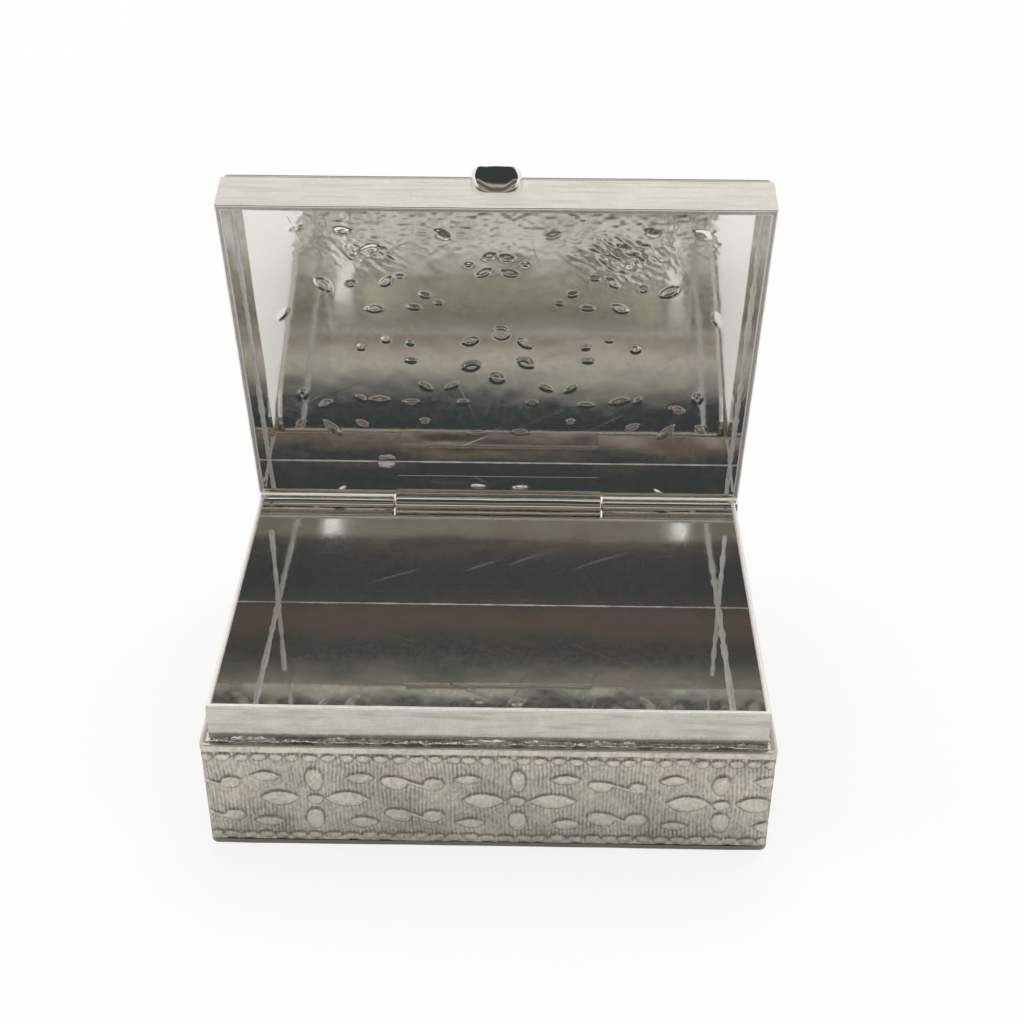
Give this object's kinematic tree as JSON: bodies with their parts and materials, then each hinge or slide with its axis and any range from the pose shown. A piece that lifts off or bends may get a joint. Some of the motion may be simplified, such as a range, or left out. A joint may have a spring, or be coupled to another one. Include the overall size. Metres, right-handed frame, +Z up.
{
  "type": "rosary box",
  "caption": "Small rectangular silver box with a stamped flower band, a plain inner collar and a hinged, cushioned lid with a thumbpiece, for a rosary or other keepsake.",
  "frame": {"origin": "centre of the flat underside of the box", "axes": "+Z up, front with the thumbpiece towards -Y, hinge along X at the rear; the lid stands open by 78 degrees as in the picture"},
  "size_m": [0.057, 0.048, 0.0584],
  "materials": {
    "polished_silver": "polished",
    "satin_silver": "satin",
    "stamped_silver": "satin",
    "chased_silver": "polished",
    "dull_silver": "satin",
    "solder": "satin"
  },
  "bodies": {
    "box": {"base_plate": "dull_silver", "embossed_band": "stamped_silver", "liner_front": "polished_silver", "liner_left": "polished_silver", "liner_right": "polished_silver", "liner_rear": "polished_silver", "ledge_solder": "solder", "box_corner_solder": "solder", "knuckle_left": "polished_silver", "knuckle_right": "polished_silver", "hinge_pin": "dull_silver"},
    "lid": {"cover_plate": "chased_silver", "lid_wall_front": "satin_silver", "lid_wall_left": "satin_silver", "lid_wall_right": "satin_silver", "lid_wall_rear": "satin_silver", "lid_corner_solder": "solder", "lid_hinge_strip": "polished_silver", "knuckle_lid": "polished_silver", "thumbpiece": "polished_silver"}
  },
  "joints": [
    {"name": "lid_hinge", "type": "hinge", "parent": "box", "child": "lid", "pos_m": [0, 0.02225, 0.01355], "axis": [1, 0, 0], "range_deg": [-12, 78]}
  ]
}
